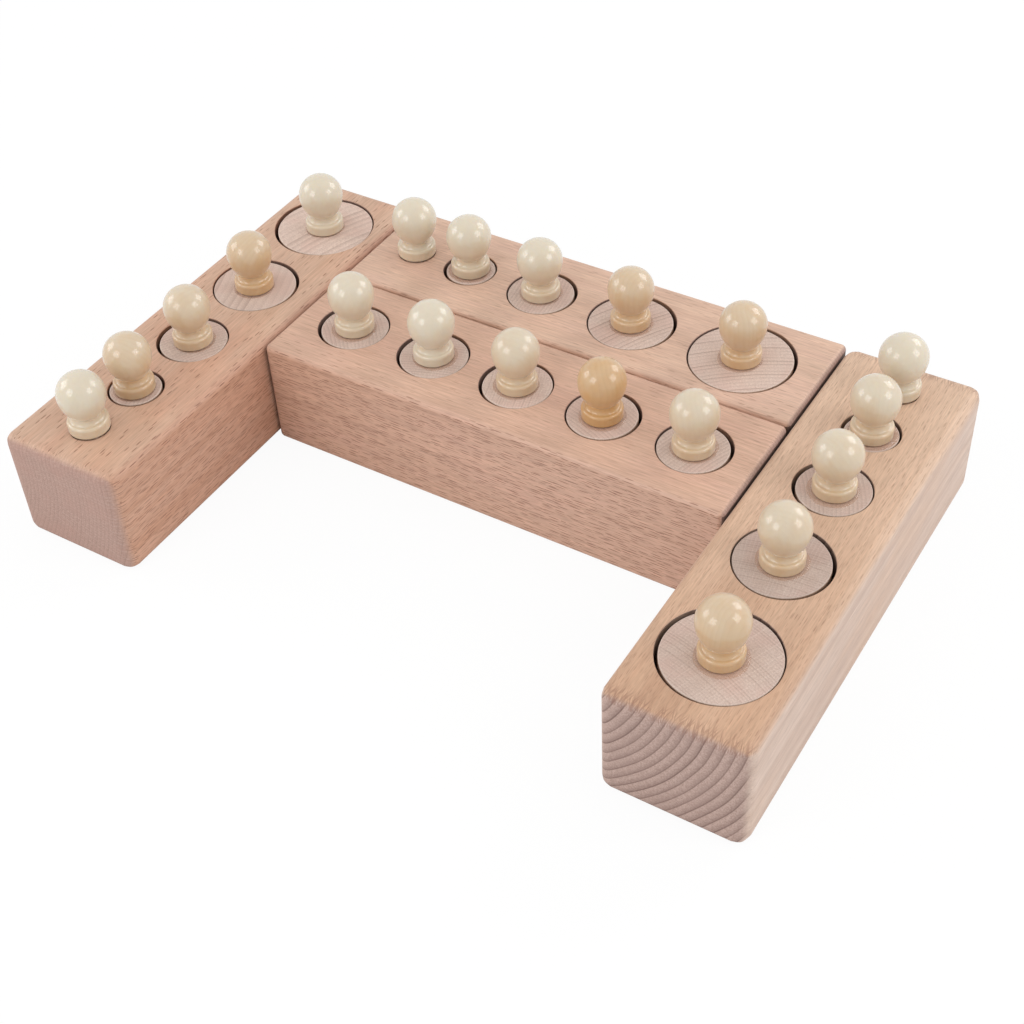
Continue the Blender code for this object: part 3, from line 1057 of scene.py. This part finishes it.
# Growth, direction of the heart in degrees and tone of each cylinder, from 1 to 5
DOWELS = {
    "left": (
        ("fast", 160, 1.15), ("fast", 21, 1.06), ("even", 150, 1.0), ("even", 20, 1.0), ("even", 95, 1.02)
    ),
    "back": (
        ("lined", 124, 1.08), ("lined", 151, 1.04), ("even", 10, 1.0), ("slow", 60, 1.0), ("even", 140, 1.0)
    ),
    "front": (
        ("even", 45, 1.0), ("even", 110, 1.0), ("slow", 20, 1.08), ("even", 70, 1.04), ("even", 160, 1.0)
    ),
    "right": (
        ("slow", 71, 1.0), ("slow", 98, 0.86), ("even", 30, 0.95), ("even", 120, 1.0), ("slow", 50, 1.0)
    ),
}
# Place of the cylinders in their trunks, in mm
HEART_DISTANCE = 90
FIRST_DOWEL = 3000
DOWEL_STEP = 90
for index, ((side, number), cylinder) in enumerate(cylinders.items()):
    growth, towards, tone = DOWELS[side][number - 1]
    angle = radians(towards)
    along = FIRST_DOWEL + DOWEL_STEP * index
    lay_grain(cylinder, UPRIGHT, (HEART_DISTANCE * cos(angle), HEART_DISTANCE * sin(angle), along))
    lay_tone_and_shade(cylinder, tone)
    paint(cylinder, dowels[growth])
print("beech:", len(BAR_LOOKS) + len(dowels), "materials")

# %% [markdown]
# ## Lacquered birch
#
# The knobs are a paler, finer wood under a thick clear lacquer that was left glossy. Light goes a
# little way into the pale wood, so it looks soft. The lacquer is the coat of the shader, and the
# wood below it is nearly matt. Each knob has its own tone, from cream to honey.

# %% Lacquered birch

# Sizes of the patterns in millimetres, with fibres again drawn as coarse as they need to show
BIRCH_RING = 1.3
BIRCH_SWAY_CELL = (9, 9, 30)
BIRCH_SWAY = 3.0
BIRCH_FIBRE_CELL = (0.4, 0.4, 5)
BIRCH_TONE_CELL = (5, 5, 18)
BIRCH_LATE_SPAN = (0.2, 0.9)
BIRCH_RING_END = (0.92, 1.0)
BIRCH_LATE_SHARE = 0.09
BIRCH_HUE = 0.08
# Heights between which a ball goes from painted warm light below to a cooler top, and how far its hue moves
PAINTED_BOUNCE_HEIGHTS = (39 * MM, 52 * MM)
PAINTED_BOUNCE_HUE = 0.13
CREAM, HONEY, LATE_WOOD = linear("d9cdb7"), linear("cb9f68"), linear("a97f55")
FIBRE_SHADES = linear("fafafa"), WHITE
LACQUERED_WOOD = {
    "Roughness": 0.5,
    "Coat Weight": 1.0,
    "Coat Roughness": 0.1,
    "Coat IOR": 1.5,
    "Sheen Weight": 0.25,
    "Sheen Roughness": 0.3,
    "Subsurface Weight": 0.3,
    "Subsurface Radius": (1.0, 0.7, 0.4),
    "Subsurface Scale": 1.5 * MM,
}


def birch():
    """Pale turned wood under clear gloss lacquer."""
    material, tree, shader = new_material("lacquered_birch")
    place = add(tree, "Attribute", output="Vector", attribute_name="grain")
    tone = add(tree, "Attribute", output="Fac", attribute_name="tone")
    sway = stretched(tree, place, BIRCH_SWAY_CELL).node.outputs["Color"]
    sway = add(tree, "VectorMath", {0: sway, "Scale": BIRCH_SWAY}, operation="SCALE")
    place = add(tree, "VectorMath", {0: place, 1: sway}, operation="ADD")
    year = times(tree, from_the_heart(tree, place), 1 / BIRCH_RING)
    inside = add(tree, "Math", {0: year}, operation="FRACT")
    late = ramp(tree, inside, *BIRCH_LATE_SPAN)
    late = times(tree, late, ramp(tree, inside, *BIRCH_RING_END, 1.0, 0.0))
    fibre = stretched(tree, place, BIRCH_FIBRE_CELL)
    broad = stretched(tree, place, BIRCH_TONE_CELL)
    honey = add(tree, "Math", {0: tone, 1: ramp(tree, broad, *NOISE_SPAN, -BIRCH_HUE, BIRCH_HUE)})
    # The lower half of a ball is painted warmer, as painted light reflected up from the wood below
    height = add(tree, "SeparateXYZ", {0: add(tree, "TexCoord", output="Object")}, "Z")
    honey = add(tree, "Math", {0: honey, 1: ramp(tree, height, *PAINTED_BOUNCE_HEIGHTS, PAINTED_BOUNCE_HUE, -PAINTED_BOUNCE_HUE)})
    colour = blend(tree, honey, CREAM, HONEY)
    late_share = times(tree, tone, BIRCH_LATE_SHARE)
    colour = blend(tree, times(tree, late, late_share), colour, LATE_WOOD)
    colour = blend(tree, 1.0, colour, blend(tree, fibre, *FIBRE_SHADES), "MULTIPLY")
    tree.links.new(colour, shader.inputs["Base Color"])
    set_shader(shader, LACQUERED_WOOD)
    return material


# Tone of each knob, from 0 for cream to 1 for honey
KNOB_TONES = {
    "left": (0.0, 0.65, 0.4, 0.5, 0.1),
    "back": (0.55, 0.55, 0.1, 0.05, 0.0),
    "front": (0.15, 0.0, 0.3, 0.95, 0.3),
    "right": (0.62, 0.35, 0.3, 0.25, 0.0),
}
# No two knobs show the same wood: each leans in its own direction, in radians from the one before,
# and has its own turn in degrees, place along the trunk and heart, 4 to 14 mm away on each axis
KNOB_LEAN = 0.35
LEAN_STEPS = (2.1, 1.3)
KNOB_STEP = 200
KNOB_TURN = 41
lacquer = birch()
for index, ((side, number), knob) in enumerate(knobs.items()):
    along = (sin(index * LEAN_STEPS[0]) * KNOB_LEAN, cos(index * LEAN_STEPS[1]) * KNOB_LEAN, 1)
    heart = (6 + index * 5 % 9, 4 + index * 7 % 11, KNOB_STEP * index)
    lay_grain(knob, along, heart, KNOB_TURN * index)
    lay_tone_and_shade(knob, KNOB_TONES[side][number - 1])
    paint(knob, lacquer)
print("lacquered knobs:", len(knobs))

# %% [markdown]
# ## Clear glue
#
# Set glue is clear, slightly amber and glossy. It is thin, so it is made as a see-through coat with
# a strong gloss, and the wood shows darker through it.

# %% Clear glue
SET_GLUE = {"Base Color": linear("dcb498"), "Roughness": 0.08, "Specular IOR Level": 1.0, "Alpha": 0.2}
amber, tree, shader = new_material("clear_set_glue")
set_shader(shader, SET_GLUE)
for ring in glue:
    paint(ring, amber)
print("glue:", amber.name)
